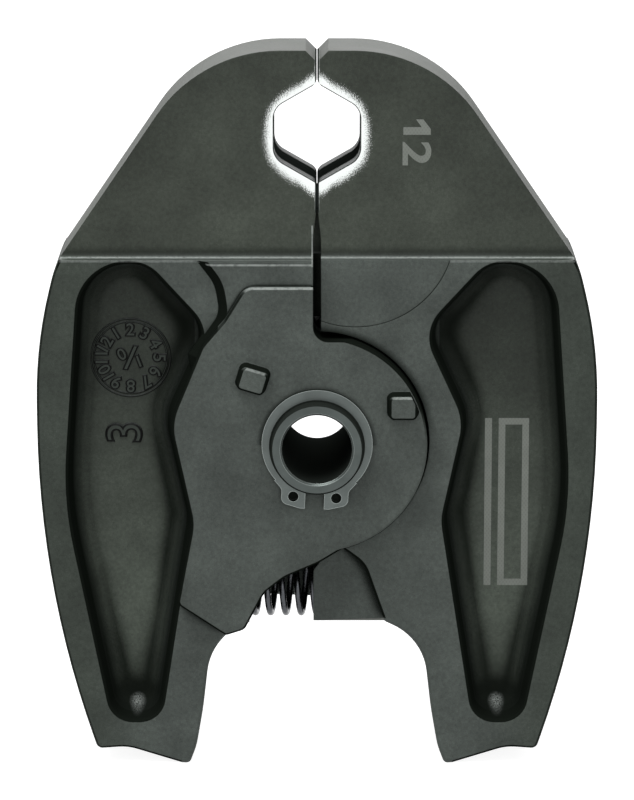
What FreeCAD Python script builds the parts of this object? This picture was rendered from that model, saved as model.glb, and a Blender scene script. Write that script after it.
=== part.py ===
"""Press jaw: two forged arms lapped on a hollow pivot pin, two retaining rings and a closing spring.

The origin is the centre of the pin, X runs to the right, Y to the back and Z up to the tips of the jaw.
"""

import FreeCAD
import Part
import math
import os

V = FreeCAD.Vector

# Thickness of each level, measured from the middle plane of the jaw
HEAD_HALF = 7.5
ARM_HALF = 10.2
BOSS_HALF = 11.8
KNUCKLE_HALF = 13.0
LUG_HALF = 15.8
POCKET_FLOOR_HALF = 4.2
LAP_GAP = 0.2
LAP_PLATE = 5.7
LAP_LIP = 2.6
SIDE_GAP = 0.3

# Pivot pin with a ring groove near each end
PIN_DIAMETER = 15.0
PIN_LENGTH = 32.4
PIN_BORE = 11.4
PIN_RUNNING_GAP = 0.05
PIN_END_CHAMFER = 0.2
PIN_BORE_CHAMFER = 0.3
GROOVE_DIAMETER = 14.3
GROOVE_WIDTH = 1.1

# Retaining rings
RING_THICKNESS = 1.0
RING_SEAT_GAP = 0.05
RING_OUTER_RADIUS = 9.0
RING_ECCENTRICITY = 0.43
RING_GAP = 3.1
RING_LUG_TOP = 5.8
RING_LUG_NECK = 7.3
RING_LUG_ROOT = 1.3
RING_LUG_SHOULDER = 9.6
RING_LUG_REACH = 10.4
RING_LUG_WIDTH = 3.9
RING_LUG_TOE = 0.8
RING_LUG_CORNER = 1.2
RING_LUG_TOE_CORNER = 0.5
RING_HOLE = 1.7
RING_HOLE_CIRCLE = 9.15
RING_HOLE_SPREAD = 3.5
RING_TURN = 2.5

# Head: outline, parting faces and the slot between the arms
HEAD_TOP = 63.7
HEAD_FOOT = 30.05
HEAD_CORNER = 24.0
LEDGE_FILLET = 0.8
TIP_CHAMFER = 1.8
PARTING_GAP = 0.1
SLOT_WIDTH = 1.3
SLOT_TOP = 32.9
CONTACT_FOOT = 38.6
FLANK_ANGLE = 55.65
SHOULDER_X = 42.4
SHOULDER_Z = 29.0
SHOULDER_RADIUS = 11.0

# Press contour, a hexagon between the parting faces
CONTOUR_HEIGHT = 50.35
CONTOUR_FLATS = 14.0
CONTOUR_SIDE_RADIUS = 3.0
CONTOUR_TIP_RADIUS = 1.6
BEAD_RADIUS = 9.0
BEAD_WIDTH = 7.0

# Outer side, heel, foot and inner cam edge of each leg
SIDE_X = 45.65
SIDE_UPPER_Z = 16.0
SIDE_UPPER_RADIUS = 75.0
SIDE_LOWER_Z = 24.6
SIDE_LOWER_RADIUS = 170.0
HEEL_X = 36.4
HEEL_Z = 52.55
HEEL_WIDTH = 5.0
HEEL_RISE = 0.35
HEEL_RADIUS = 1.1
ARCH_RADIUS = 8.0
FOOT_X = 21.15
FOOT_Z = 55.1
FOOT_RADIUS = 0.9
FOOT_WIDTH = 1.35
TOE_RISE = 3.05
TOE_RUN = 1.15
TOE_RADIUS = 12.0
CAM_X = 18.85
CAM_Z = 45.5
CAM_RADIUS = 60.0
CROTCH_X = 17.45
CROTCH_Z = 33.5
CROTCH_RADIUS = 10.0
CROTCH_RUN = 6.3
CROTCH_RISE = 2.9
CROTCH_WALL_RADIUS = 5.0
ARM_EDGE = 0.4

# Key on each arm that runs in a groove of the other and closes the slot
KEY_THICKNESS = 3.0
KEY_OFFSET = 1.2
KEY_REACH = 0.9
KEY_FOOT = 19.6
KEY_TOP = 40.2
KEY_GAP = 0.3

# Knuckle, which runs in the recess of the other arm
KNUCKLE_RADIUS = 18.0
RECESS_RADIUS = 18.35
KNUCKLE_TOP = 26.1
KNUCKLE_EDGE = 0.35
RUN_OUT_Z = 17.1
RUN_OUT_RADIUS = 2.5
KNUCKLE_STEP = 0.3
LIP_START = 1.9
BOSS_DRAFT = 1.9
RELIEF_DEPTH = 0.25
RELIEF_RADIUS = 16.1
RELIEF_X = 6.25
RELIEF_Z = 35.1

# Pockets in both faces of each arm
POCKET_DRAFT = 1.3
POCKET_FILLET = 2.2
POCKET_EDGE = 0.35

# Raised lugs on the knuckle: x, z and tilt in degrees of each
LUG_WIDTH = 5.3
LUG_HEIGHT = 4.6
LUG_CORNER = 1.2
LUG_DRAFT = 0.45
LUG_EDGE = 0.3
LUG_LIMIT = 17.5
LUG_PLACES = ((13.95, 6.7, 0.0), (-10.4, 11.2, -17.0))

# Closing spring, its bored seats and the stock around them
SPRING_DIAMETER = 9.6
SPRING_WIRE = 1.1
SPRING_PITCH = 2.55
SPRING_END_GAP = 0.06
SPRING_PHASE = 0.194
SPRING_SECTIONS = 16
SPRING_SIDES = 8
SPRING_DEPTH = 27.5
SPRING_SIDE_GAP = 0.2
SEAT_LEFT = 15.4
SEAT_RIGHT = 4.6
SEAT_WALL = 0.6
SEAT_WALL_LEFT = 0.9
SEAT_BOSS_START = 11.3
SEAT_BOSS_END = 12.45
BLOCK_FACE = 0.6
BLOCK_TOP = 19.0
BLOCK_CORNER_Z = 22.6
BLOCK_FOOT = 31.3
BLOCK_RISE = 0.6
BLOCK_BACK = 5.2
WEB_GAP = 0.3
WEB_THICKNESS = 1.5
WEB_FOOT = 30.6


def corner_arc(before, corner, after, radius):
    """Start, middle and end of the arc that rounds a corner of an outline."""
    to_before = (before - corner).normalize()
    to_after = (after - corner).normalize()
    half_angle = to_before.getAngle(to_after) / 2
    reach = radius / math.tan(half_angle)
    centre = corner + (to_before + to_after).normalize() * (radius / math.sin(half_angle))
    middle = centre + (corner - centre).normalize() * radius
    return corner + to_before * reach, middle, corner + to_after * reach


def outline(corners, y):
    """Closed wire at depth y through corners (x, z) or (x, z, radius)."""
    places = [V(corner[0], y, corner[1]) for corner in corners]
    radii = [corner[2] if len(corner) > 2 else 0.0 for corner in corners]
    edges = []
    ends = []
    for i, corner in enumerate(places):
        if radii[i] > 0:
            start, middle, end = corner_arc(places[i - 1], corner, places[(i + 1) % len(places)], radii[i])
            ends.append((start, end, Part.Arc(start, middle, end).toShape()))
        else:
            ends.append((corner, corner, None))
    for i, (start, end, arc) in enumerate(ends):
        if arc is not None:
            edges.append(arc)
        after = ends[(i + 1) % len(ends)][0]
        if end.distanceToPoint(after) > 1e-6:
            edges.append(Part.LineSegment(end, after).toShape())
    return Part.Wire(edges)


def plate(corners, front, back):
    """Solid with the given outline between two depths."""
    return Part.Face(outline(corners, front)).extrude(V(0, back - front, 0))


def disc(radius, front, back, x=0.0, z=0.0):
    """Cylinder along Y between two depths."""
    return Part.makeCylinder(radius, back - front, V(x, front, z), V(0, 1, 0))


def block(x0, x1, y0, y1, z0, z1):
    """Box between two corners."""
    return Part.makeBox(x1 - x0, y1 - y0, z1 - z0, V(x0, y0, z0))


def inset(corners, distance):
    """The same outline moved inwards, for a drafted wall."""
    places = [V(corner[0], 0, corner[1]) for corner in corners]
    count = len(places)
    area = sum(places[i - 1].x * places[i].z - places[i].x * places[i - 1].z for i in range(count))
    side = 1.0 if area > 0 else -1.0
    moved = []
    for i, corner in enumerate(corners):
        into = (places[i] - places[i - 1]).normalize()
        out = (places[(i + 1) % count] - places[i]).normalize()
        normal_in = V(-into.z, 0, into.x) * side
        normal_out = V(-out.z, 0, out.x) * side
        shift = (normal_in + normal_out) * (distance / (1 + normal_in.dot(normal_out)))
        turn = (into.x * out.z - into.z * out.x) * side
        place = places[i] + shift
        if len(corner) < 3:
            moved.append((place.x, place.z))
        else:
            radius = max(corner[2] - distance, 0.2) if turn > 0 else corner[2] + distance
            moved.append((place.x, place.z, radius))
    return moved


def drafted(corners, distance, y0, y1):
    """Solid that narrows by a distance from the outline at y0 to the outline at y1."""
    return Part.makeLoft([outline(corners, y0), outline(inset(corners, distance), y1)], True, True)


def turned(shape):
    """Copy turned half round the vertical, which brings the left arm's place to the right arm's."""
    copy = shape.copy()
    copy.rotate(V(0, 0, 0), V(0, 0, 1), 180)
    return copy


def edges_on(shape, half, test=None):
    """Edges that lie in the planes at plus and minus a depth, filtered by a test on their middle."""
    found = []
    for edge in shape.Edges:
        box = edge.BoundBox
        flat = box.YLength < 0.001 and abs(abs(box.Center.y) - half) < 0.001
        if flat and (test is None or test(edge.valueAt((edge.FirstParameter + edge.LastParameter) / 2))):
            found.append(edge)
    return found


def arm_corners():
    """Whole outline of the left arm: slot, head, flank, side, leg, crotch and spring wall."""
    face = -PARTING_GAP / 2
    slot = -SLOT_WIDTH / 2
    flank_top = (HEAD_TOP - SHOULDER_Z) / math.tan(math.radians(FLANK_ANGLE)) - SHOULDER_X
    return [
        (slot, KNUCKLE_RADIUS / 2),
        (slot, SLOT_TOP),
        (face, CONTACT_FOOT),
        (face, HEAD_TOP - TIP_CHAMFER),
        (face - TIP_CHAMFER, HEAD_TOP),
        (flank_top, HEAD_TOP, HEAD_CORNER),
        (-SHOULDER_X, SHOULDER_Z, SHOULDER_RADIUS),
        (-SIDE_X, SIDE_UPPER_Z, SIDE_UPPER_RADIUS),
        (-SIDE_X, -SIDE_LOWER_Z, SIDE_LOWER_RADIUS),
        (-HEEL_X, -HEEL_Z, HEEL_RADIUS),
        (-HEEL_X + HEEL_WIDTH, -HEEL_Z + HEEL_RISE, ARCH_RADIUS),
        (-FOOT_X - FOOT_WIDTH, -FOOT_Z + 0.1, 1.5),
        (-FOOT_X, -FOOT_Z, FOOT_RADIUS),
        (-FOOT_X + TOE_RUN, -FOOT_Z + TOE_RISE, TOE_RADIUS),
        (-CAM_X, -CAM_Z, CAM_RADIUS),
        (-CROTCH_X, -CROTCH_Z, CROTCH_RADIUS),
        (-CROTCH_X + CROTCH_RUN, -CROTCH_Z + CROTCH_RISE, 0.6),
        (-7.7, -20.7, CROTCH_WALL_RADIUS),
        (-3.9, -17.9),
        (-2.0, -10.0),
    ]


def pocket_inner_rim():
    """Corners of the pocket's rim beside the knuckle, which the knuckle's wall follows."""
    return [(-24.2, 3.6, 9.0), (-20.6, -13.2, 9.0)]


def pocket_corners():
    """Rim of the pocket in the left arm's face."""
    return [
        (-38.3, 29.6, 8.3),
        (-27.6, 29.6, 6.2),
        (-17.4, 18.4, 6.2),
        *pocket_inner_rim(),
        (-26.0, -47.6, 4.0),
        (-33.8, -47.6, 4.0),
        (-41.2, -10.0, 60.0),
    ]


def knuckle_corners():
    """Outline of the knuckle's face to the left of the pin, without its disc."""
    rim = [(x + KNUCKLE_STEP, z, radius) for x, z, radius in pocket_inner_rim()]
    return [
        (-SLOT_WIDTH / 2, KNUCKLE_TOP),
        (-11.6, KNUCKLE_TOP, 2.5),
        (-15.0, 20.6, 4.0),
        (-18.6, 16.4, 3.0),
        *rim,
        (-22.9, -26.9, 1.2),
        (-15.0, -32.2, 0.9),
        (-11.9, -31.2, 1.6),
        (-8.6, -24.9, 4.0),
        (-5.3, -22.3, 6.0),
        (0.2, -19.9, 4.0),
        (4.6, -17.2),
        (2.0, 0.0),
        (-SLOT_WIDTH / 2, KNUCKLE_RADIUS / 2),
    ]


def boss_corners():
    """Foot of the low boss between the knuckle and the head."""
    return [
        (SLOT_WIDTH, HEAD_FOOT + BOSS_DRAFT),
        (-21.4, HEAD_FOOT + BOSS_DRAFT),
        (-16.9, 26.0, 6.0),
        (-16.2, 21.4, 3.5),
        (-21.0, 14.6),
        (-20.0, KNUCKLE_RADIUS / 2),
        (SLOT_WIDTH, KNUCKLE_RADIUS / 2),
    ]


def lap_corners(foot):
    """Outline of the stock that laps below the right arm's knuckle, down to its foot."""
    return [
        (-BLOCK_FACE, -BLOCK_CORNER_Z, 1.5),
        (2.4, -BLOCK_TOP, 0.5),
        (6.0, -18.4),
        (12.0, -20.0),
        (14.0, -foot + BLOCK_RISE),
        (-BLOCK_FACE, -foot, 0.6),
    ]


def contour_corners():
    """Hexagon of the press contour, with its side corners rounded."""
    tip = CONTOUR_FLATS / 2 / math.cos(math.radians(30))
    corners = []
    for i in range(6):
        angle = math.radians(90 + 60 * i)
        place = (tip * math.cos(angle), CONTOUR_HEIGHT + tip * math.sin(angle))
        corners.append(place if i % 3 == 0 else (*place, CONTOUR_SIDE_RADIUS))
    return corners


def pocket(side):
    """Deep pocket with drafted walls and a rounded floor, in the front (-1) or back (1) face."""
    tool = drafted(pocket_corners(), POCKET_DRAFT, side * ARM_HALF, side * POCKET_FLOOR_HALF)
    return tool.makeFillet(POCKET_FILLET, edges_on(tool, POCKET_FLOOR_HALF))


def milled_off(side):
    """Stock that is milled off the front (-1) or back (1) of the head, with a rounded inner corner."""
    reach = 2 * HEAD_TOP
    near, far = sorted((side * HEAD_HALF, side * reach))
    stock = block(-reach, reach, near, far, HEAD_FOOT, reach)
    corner = edges_on(stock, HEAD_HALF, lambda p: abs(p.z - HEAD_FOOT) < 0.001)
    return stock.makeFillet(LEDGE_FILLET, corner)


def on_pocket_rim(point):
    """Whether a point lies on the rim of a pocket, in either face."""
    rim = outline(pocket_corners(), point.y)
    return rim.distToShape(Part.Vertex(point))[0] < 0.01


def arm():
    """Arm with its head milled down, the contour cut, the pockets sunk and the edges rounded."""
    body = plate(arm_corners(), -ARM_HALF, ARM_HALF)
    body = body.cut([milled_off(-1), milled_off(1), plate(contour_corners(), -ARM_HALF, ARM_HALF)])
    tips = [edge for edge in body.Edges if edge.BoundBox.YLength > HEAD_HALF
            and abs(edge.CenterOfMass.x + PARTING_GAP / 2) < 0.001
            and CONTACT_FOOT + 1.0 < edge.CenterOfMass.z < HEAD_TOP - TIP_CHAMFER - 1.0]
    body = body.makeFillet(CONTOUR_TIP_RADIUS, tips)
    outer = edges_on(body, ARM_HALF, lambda p: p.x < -CROTCH_X and p.z < HEAD_FOOT - 0.1)
    body = body.makeChamfer(ARM_EDGE, outer)
    body = body.cut([pocket(-1), pocket(1)])
    return body.makeChamfer(POCKET_EDGE, edges_on(body, ARM_HALF, on_pocket_rim))


def lug(x, z, tilt):
    """Raised square lug with drafted sides on the front of the knuckle."""
    half_w = LUG_WIDTH / 2
    half_h = LUG_HEIGHT / 2
    square = [(half_w, half_h, LUG_CORNER), (-half_w, half_h, LUG_CORNER),
              (-half_w, -half_h, LUG_CORNER), (half_w, -half_h, LUG_CORNER)]
    shape = drafted(square, LUG_DRAFT, -KNUCKLE_HALF + LUG_EDGE, -LUG_HALF)
    shape = shape.makeChamfer(LUG_EDGE, edges_on(shape, LUG_HALF))
    shape.rotate(V(0, 0, 0), V(0, 1, 0), -tilt)
    shape.translate(V(x, 0, z))
    return shape


def knuckle():
    """Half-thickness knuckle with its lap plate, which passes in front of the other arm."""
    front = -KNUCKLE_HALF
    back = front + LAP_PLATE
    slot = -SLOT_WIDTH / 2
    face = plate(knuckle_corners(), front, back)
    lip = disc(2 * RECESS_RADIUS, front + LAP_LIP, back).cut(disc(KNUCKLE_RADIUS, front, back))
    face = face.cut(lip.common(block(-LIP_START, KNUCKLE_RADIUS, front, back, -KNUCKLE_RADIUS * 2, 0.0)))
    shape = face.fuse(disc(KNUCKLE_RADIUS, front, -LAP_GAP / 2)).removeSplitter()
    rim = edges_on(shape, KNUCKLE_HALF, lambda p: p.x < slot - 0.1 or p.z < KNUCKLE_RADIUS / 2)
    shape = shape.makeChamfer(KNUCKLE_EDGE, rim)
    column = block(slot - 1.0, slot + RUN_OUT_RADIUS, front, -LAP_GAP / 2,
                   KNUCKLE_RADIUS / 2, RUN_OUT_Z + RUN_OUT_RADIUS)
    run_out = plate([(slot, 2 * KNUCKLE_RADIUS), (slot, RUN_OUT_Z, RUN_OUT_RADIUS),
                     (KNUCKLE_RADIUS, RUN_OUT_Z), (KNUCKLE_RADIUS, 2 * KNUCKLE_RADIUS)], front, 0.0)
    shape = shape.fuse(column).cut(run_out).removeSplitter()
    lugs = [lug(x, z, tilt) for x, z, tilt in LUG_PLACES]
    lugs[0] = lugs[0].common(disc(LUG_LIMIT, -LUG_HALF, 0.0))
    return shape.fuse(lugs)


def boss():
    """Low boss that joins the knuckle to the head."""
    shape = drafted(boss_corners(), BOSS_DRAFT, -ARM_HALF + 0.4, -BOSS_HALF)
    return shape.common(block(-SIDE_X, -SLOT_WIDTH / 2, -BOSS_HALF, 0.0, 0.0, HEAD_FOOT))


def key(gap):
    """Flat key that crosses the slot from the left arm; a gap makes it the groove in the other arm."""
    reach = SLOT_WIDTH / 2 + KEY_REACH + gap
    return block(-SLOT_WIDTH, reach, -KEY_OFFSET - KEY_THICKNESS - gap, -KEY_OFFSET + gap,
                 KEY_FOOT - gap, KEY_TOP + gap)


def forging():
    """The forged and milled blank that both arms share, in the left arm's place."""
    back = 2 * KNUCKLE_HALF
    body = arm().cut(disc(RECESS_RADIUS, -LAP_GAP / 2, back))
    relief = disc(RELIEF_RADIUS, ARM_HALF - RELIEF_DEPTH, back, -RELIEF_X, RELIEF_Z)
    body = body.cut(relief.common(block(-SIDE_X, 0.0, 0.0, back, 0.0, HEAD_FOOT)))
    body = body.fuse([knuckle(), boss()])
    bead = disc(BEAD_RADIUS, -BEAD_WIDTH / 2, BEAD_WIDTH / 2, 0.0, CONTOUR_HEIGHT)
    bore = disc(PIN_DIAMETER / 2 + PIN_RUNNING_GAP, -back, back)
    return body.cut([bead, bore, turned(key(KEY_GAP))]).fuse(key(0.0))


def along_x(radius, x0, x1):
    """Cylinder on the spring's axis between two places."""
    return Part.makeCylinder(radius, x1 - x0, V(x0, 0, -SPRING_DEPTH), V(1, 0, 0))


def spring_bore():
    """Blind bore in both arms that holds the spring's two ends."""
    return along_x(SPRING_DIAMETER / 2 + SPRING_SIDE_GAP, -SEAT_LEFT, SEAT_RIGHT)


def left_jaw():
    """Left arm, with the thin web behind the spring and the bored spring seat."""
    front = BLOCK_BACK + WEB_GAP
    web = turned(plate(lap_corners(WEB_FOOT), -front - WEB_THICKNESS, -front))
    seat = along_x(SPRING_DIAMETER / 2 + SPRING_SIDE_GAP + SEAT_WALL_LEFT, -CROTCH_X, -SEAT_BOSS_START)
    return forging().fuse([web, seat]).cut(spring_bore()).removeSplitter()


def right_jaw():
    """Right arm, with the block that the spring pushes on."""
    stock = plate(lap_corners(BLOCK_FOOT), -KNUCKLE_HALF + LAP_PLATE + SIDE_GAP, BLOCK_BACK)
    seat = along_x(SPRING_DIAMETER / 2 + SPRING_SIDE_GAP + SEAT_WALL, -BLOCK_FACE, SEAT_BOSS_END)
    seat = seat.common(block(-BLOCK_FACE, CROTCH_X, -BLOCK_BACK, BLOCK_BACK, -FOOT_Z, -SPRING_DEPTH))
    return turned(forging()).fuse([stock, seat]).cut(spring_bore()).removeSplitter()


def pivot_pin():
    """Hollow pin with a ring groove near each end."""
    half = PIN_LENGTH / 2
    outer = PIN_DIAMETER / 2
    bore = PIN_BORE / 2
    groove = GROOVE_DIAMETER / 2
    inner_end = KNUCKLE_HALF + (GROOVE_WIDTH - RING_THICKNESS) / 2
    outer_end = inner_end + GROOVE_WIDTH
    profile = [
        (bore, 0.0), (outer, 0.0), (outer, inner_end), (groove, inner_end), (groove, outer_end),
        (outer, outer_end), (outer, half - PIN_END_CHAMFER), (outer - PIN_END_CHAMFER, half),
        (bore + PIN_BORE_CHAMFER, half), (bore, half - PIN_BORE_CHAMFER), (bore, 0.0),
    ]
    face = Part.Face(Part.makePolygon([V(r, -y, 0) for r, y in profile]))
    end = face.revolve(V(0, 0, 0), V(0, 1, 0), 360)
    return end.fuse(turned(end)).removeSplitter()


def retaining_ring():
    """Front ring: an eccentric ring, open at the bottom, with a bored lug on each side of the gap."""
    back = -KNUCKLE_HALF - (GROOVE_WIDTH - RING_THICKNESS) / 2
    front = back - RING_THICKNESS
    inner_x = RING_GAP / 2
    outer_x = inner_x + RING_LUG_WIDTH
    toe_x = inner_x + RING_LUG_TOE
    root_x = outer_x + RING_LUG_ROOT
    lug_edge = [(root_x, -RING_LUG_TOP), (outer_x, -RING_LUG_NECK, RING_LUG_CORNER),
                (outer_x, -RING_LUG_SHOULDER, RING_LUG_CORNER), (toe_x, -RING_LUG_REACH, RING_LUG_TOE_CORNER)]
    mirrored = [(-corner[0], *corner[1:]) for corner in reversed(lug_edge)]
    ears = plate(lug_edge + mirrored, front, back)
    ring = disc(RING_OUTER_RADIUS, front, back, 0.0, RING_ECCENTRICITY).fuse(ears)
    ring = ring.cut([disc(GROOVE_DIAMETER / 2 + RING_SEAT_GAP, front, back),
                     block(-inner_x, inner_x, front, back, -2 * RING_LUG_REACH, 0.0)])
    hole_z = -math.sqrt(RING_HOLE_CIRCLE ** 2 - RING_HOLE_SPREAD ** 2)
    holes = [disc(RING_HOLE / 2, front, back, side * RING_HOLE_SPREAD, hole_z) for side in (-1, 1)]
    ring = ring.cut(holes).removeSplitter()
    ring.rotate(V(0, 0, 0), V(0, 1, 0), RING_TURN)
    return ring


def spring_rise(turn, turns, end_pitch):
    """Distance along the spring after a number of turns, with one closed turn at each end."""
    closed = min(turn, 1.0) + max(turn - turns + 1.0, 0.0)
    return closed * end_pitch + (turn - closed) * SPRING_PITCH


def closing_spring():
    """Compression spring with a closed turn at each end, as sections of round wire along the coil."""
    end_pitch = SPRING_WIRE + SPRING_END_GAP
    free = SEAT_LEFT + SEAT_RIGHT - 2 * SIDE_GAP - SPRING_WIRE - 2 * end_pitch
    turns = 2.0 + free / SPRING_PITCH
    radius = (SPRING_DIAMETER - SPRING_WIRE) / 2
    start = -SEAT_LEFT + SIDE_GAP + SPRING_WIRE / 2
    count = math.ceil(turns * SPRING_SECTIONS)
    steps = [2 * math.pi * i / SPRING_SIDES for i in range(SPRING_SIDES + 1)]
    wire_section = Part.makePolygon([V(math.cos(a), math.sin(a), 0) * (SPRING_WIRE / 2) for a in steps])
    sections = []
    for i in range(count + 1):
        turn = turns * i / count
        angle = 2 * math.pi * (turn + SPRING_PHASE)
        centre = V(start + spring_rise(turn, turns, end_pitch),
                   -radius * math.sin(angle), -SPRING_DEPTH + radius * math.cos(angle))
        slope = end_pitch if turn < 1.0 or turn > turns - 1.0 else SPRING_PITCH
        along = V(slope / (2 * math.pi * radius), -math.cos(angle), -math.sin(angle))
        outward = V(0, -math.sin(angle), math.cos(angle))
        section = wire_section.copy()
        section.Placement = FreeCAD.Placement(centre, FreeCAD.Rotation(outward, V(), along, "ZXY"))
        sections.append(section)
    pieces = [Part.makeLoft(sections[i:i + SPRING_SECTIONS + 1], True, True)
              for i in range(0, count, SPRING_SECTIONS)]
    return pieces[0].fuse(pieces[1:])


def nodes():
    """Every piece by the name of its node."""
    ring = retaining_ring()
    return {
        "left_jaw": left_jaw(),
        "right_jaw": right_jaw(),
        "pivot_pin": pivot_pin(),
        "front_retaining_ring": ring,
        "rear_retaining_ring": turned(ring),
        "closing_spring": closing_spring(),
    }


os.makedirs("parts", exist_ok=True)
for name, shape in nodes().items():
    print(name, shape.isValid(), len(shape.Solids), round(shape.Volume), shape.BoundBox)
    shape.exportStep("parts/" + name + ".step")
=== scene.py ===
# %% [markdown]
# # A press jaw for small pipe fittings
# Two forged steel arms swing on a hollow pin, and a small spring in the crotch keeps the head closed. The
# solids come ready from the CAD model as a fixed frame. This file gives them their finishes, cuts no metal,
# and adds what is too fine for the solids: the smooth spring, the raised date dial and the laser marks.

# %% Load the frame
import math
import bpy
import numpy as np
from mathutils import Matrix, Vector


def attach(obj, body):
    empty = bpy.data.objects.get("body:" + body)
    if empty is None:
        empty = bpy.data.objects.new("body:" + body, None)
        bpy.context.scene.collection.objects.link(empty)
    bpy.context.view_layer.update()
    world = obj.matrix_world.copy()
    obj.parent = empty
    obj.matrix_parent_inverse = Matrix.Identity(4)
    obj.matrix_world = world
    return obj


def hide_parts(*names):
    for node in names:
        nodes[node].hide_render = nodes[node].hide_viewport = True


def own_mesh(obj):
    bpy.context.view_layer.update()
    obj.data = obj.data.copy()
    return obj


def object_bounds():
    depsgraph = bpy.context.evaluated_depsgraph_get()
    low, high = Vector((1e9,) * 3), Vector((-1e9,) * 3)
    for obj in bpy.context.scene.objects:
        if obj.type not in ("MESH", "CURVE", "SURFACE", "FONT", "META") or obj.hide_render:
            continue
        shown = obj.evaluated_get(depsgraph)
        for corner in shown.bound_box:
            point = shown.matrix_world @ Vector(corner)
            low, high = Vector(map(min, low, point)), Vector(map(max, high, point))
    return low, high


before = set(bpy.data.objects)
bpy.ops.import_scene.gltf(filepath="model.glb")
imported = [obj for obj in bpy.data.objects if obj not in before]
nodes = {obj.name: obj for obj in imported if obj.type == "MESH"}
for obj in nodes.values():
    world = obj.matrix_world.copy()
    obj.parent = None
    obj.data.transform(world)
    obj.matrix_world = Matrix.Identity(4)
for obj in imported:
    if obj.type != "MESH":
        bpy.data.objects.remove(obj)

cad_box = [list(corner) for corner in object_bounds()]
print("nodes", sorted(nodes), "box", cad_box)

# %% [markdown]
# ## Units and small helpers
# Blender works in metres, and all sizes of this tool are easier to read in millimetres, so one factor turns
# them. A colour is written as the hex value that a screen shows. The renderer needs linear light, so one
# function turns it. Another adds a node to a material, sets its properties and inputs, and links what is a
# socket. A mask is a value from 0 to 1 that says where a tone goes. Masks are put together by a product or by
# their largest.

# %% Units and helpers
MM = 0.001


def linear(hex_colour):
    """Linear RGBA of an sRGB hex colour: the sRGB curve undone for each channel."""
    srgb = [int(hex_colour[i:i + 2], 16) / 255 for i in (1, 3, 5)]
    return (*[c / 12.92 if c <= 0.04045 else ((c + 0.055) / 1.055) ** 2.4 for c in srgb], 1.0)


def add(tree, kind, inputs=None, **settings):
    """A new node with its settings; an input that is given a socket is linked, any other is set."""
    node = tree.nodes.new(kind)
    for name, value in settings.items():
        setattr(node, name, value)
    for name, value in (inputs or {}).items():
        if isinstance(value, bpy.types.NodeSocket):
            tree.links.new(value, node.inputs[name])
        else:
            node.inputs[name].default_value = value
    return node


def product(tree, first, *others):
    """Several values multiplied in turn: for masks, one only where all of them are one."""
    for other in others:
        first = add(tree, "ShaderNodeMath", {0: first, 1: other}, operation="MULTIPLY").outputs[0]
    return first


def largest(tree, first, *others):
    """The largest of several values at each point: for masks, one where any of them is one."""
    for other in others:
        first = add(tree, "ShaderNodeMath", {0: first, 1: other}, operation="MAXIMUM").outputs[0]
    return first


def new_material(name):
    """An empty material with its output node."""
    material = bpy.data.materials.new(name)
    material.use_nodes = True
    material.node_tree.nodes.clear()
    output = add(material.node_tree, "ShaderNodeOutputMaterial")
    return material, material.node_tree, output


def dress(names, material):
    """Gives a material to each of these nodes of the frame, in place of its plain one."""
    for name in names:
        nodes[name].data.materials.clear()
        nodes[name].data.materials.append(material)


print("steel grey", [round(c, 4) for c in linear("#454a46")])

# %% [markdown]
# ## Camera
# The photograph was taken from a little above, 13 degrees, with a long lens, so the two arms hardly converge.
# The camera stands 650 mm from a point just above the pin and looks straight at it. The lens is worked out
# from the frame's 800 pixels on the 36 mm sensor.

# %% Camera
AIM = Vector((0.0, 0.0, 4.57 * MM))
DISTANCE = 650 * MM
ELEVATION = math.radians(13)
FOCAL_PIXELS = 3930.0
IMAGE_HEIGHT = 800.0
SENSOR = 36.0
NEAREST = 10 * MM
camera_data = bpy.data.cameras.new("camera")
camera_data.sensor_width = SENSOR
camera_data.lens = FOCAL_PIXELS * SENSOR / IMAGE_HEIGHT
camera_data.clip_start = NEAREST
camera = bpy.data.objects.new("camera", camera_data)
camera.location = AIM + DISTANCE * Vector((0.0, -math.cos(ELEVATION), math.sin(ELEVATION)))
camera.rotation_euler = (math.pi / 2 - ELEVATION, 0.0, 0.0)
bpy.context.scene.collection.objects.link(camera)
bpy.context.scene.camera = camera
print("lens", round(camera_data.lens, 2), "camera at", [round(c, 4) for c in camera.location])

# %% [markdown]
# ## Floor, world and lamps
# The catalogue picture has a plain white ground. The floor is a pale sheet that shines softly to the camera,
# so it shows white, and still takes the tool's shadow from its own diffuse part. The world gives even soft
# light. Three large soft lamps, above, in front and behind, model the edges without hard shadows.

# %% White floor
FLOOR_SIZE = 12.0
FLOOR_GLOW = 0.9


def seen_rays(tree):
    """Mask of the rays that show a surface to the camera, straight, mirrored or through something clear."""
    path = add(tree, "ShaderNodeLightPath")
    return largest(tree, *[path.outputs[f"Is {name} Ray"] for name in ("Camera", "Glossy", "Transmission")])


floor_z = cad_box[0][2]
floor_mesh = bpy.data.meshes.new("floor")
half = FLOOR_SIZE / 2
floor_mesh.from_pydata([(-half, -half, floor_z), (half, -half, floor_z), (half, half, floor_z),
                        (-half, half, floor_z)], [], [(0, 1, 2, 3)])
floor = bpy.data.objects.new("floor", floor_mesh)
bpy.context.scene.collection.objects.link(floor)

# White studio sheet: matt, so it only spreads light.
paper, tree, output = new_material("white_studio_sheet")
matt = add(tree, "ShaderNodeBsdfDiffuse", {"Color": linear("#b4b4b4")})
glow = add(tree, "ShaderNodeEmission", {"Color": linear("#ffffff"), "Strength": FLOOR_GLOW})
shine = add(tree, "ShaderNodeAddShader", {0: matt.outputs[0], 1: glow.outputs[0]})
both = add(tree, "ShaderNodeMixShader", {0: seen_rays(tree), 1: matt.outputs[0], 2: shine.outputs[0]})
tree.links.new(both.outputs[0], output.inputs["Surface"])
floor_mesh.materials.append(paper)
print("floor at", round(floor_z, 5))

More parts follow.
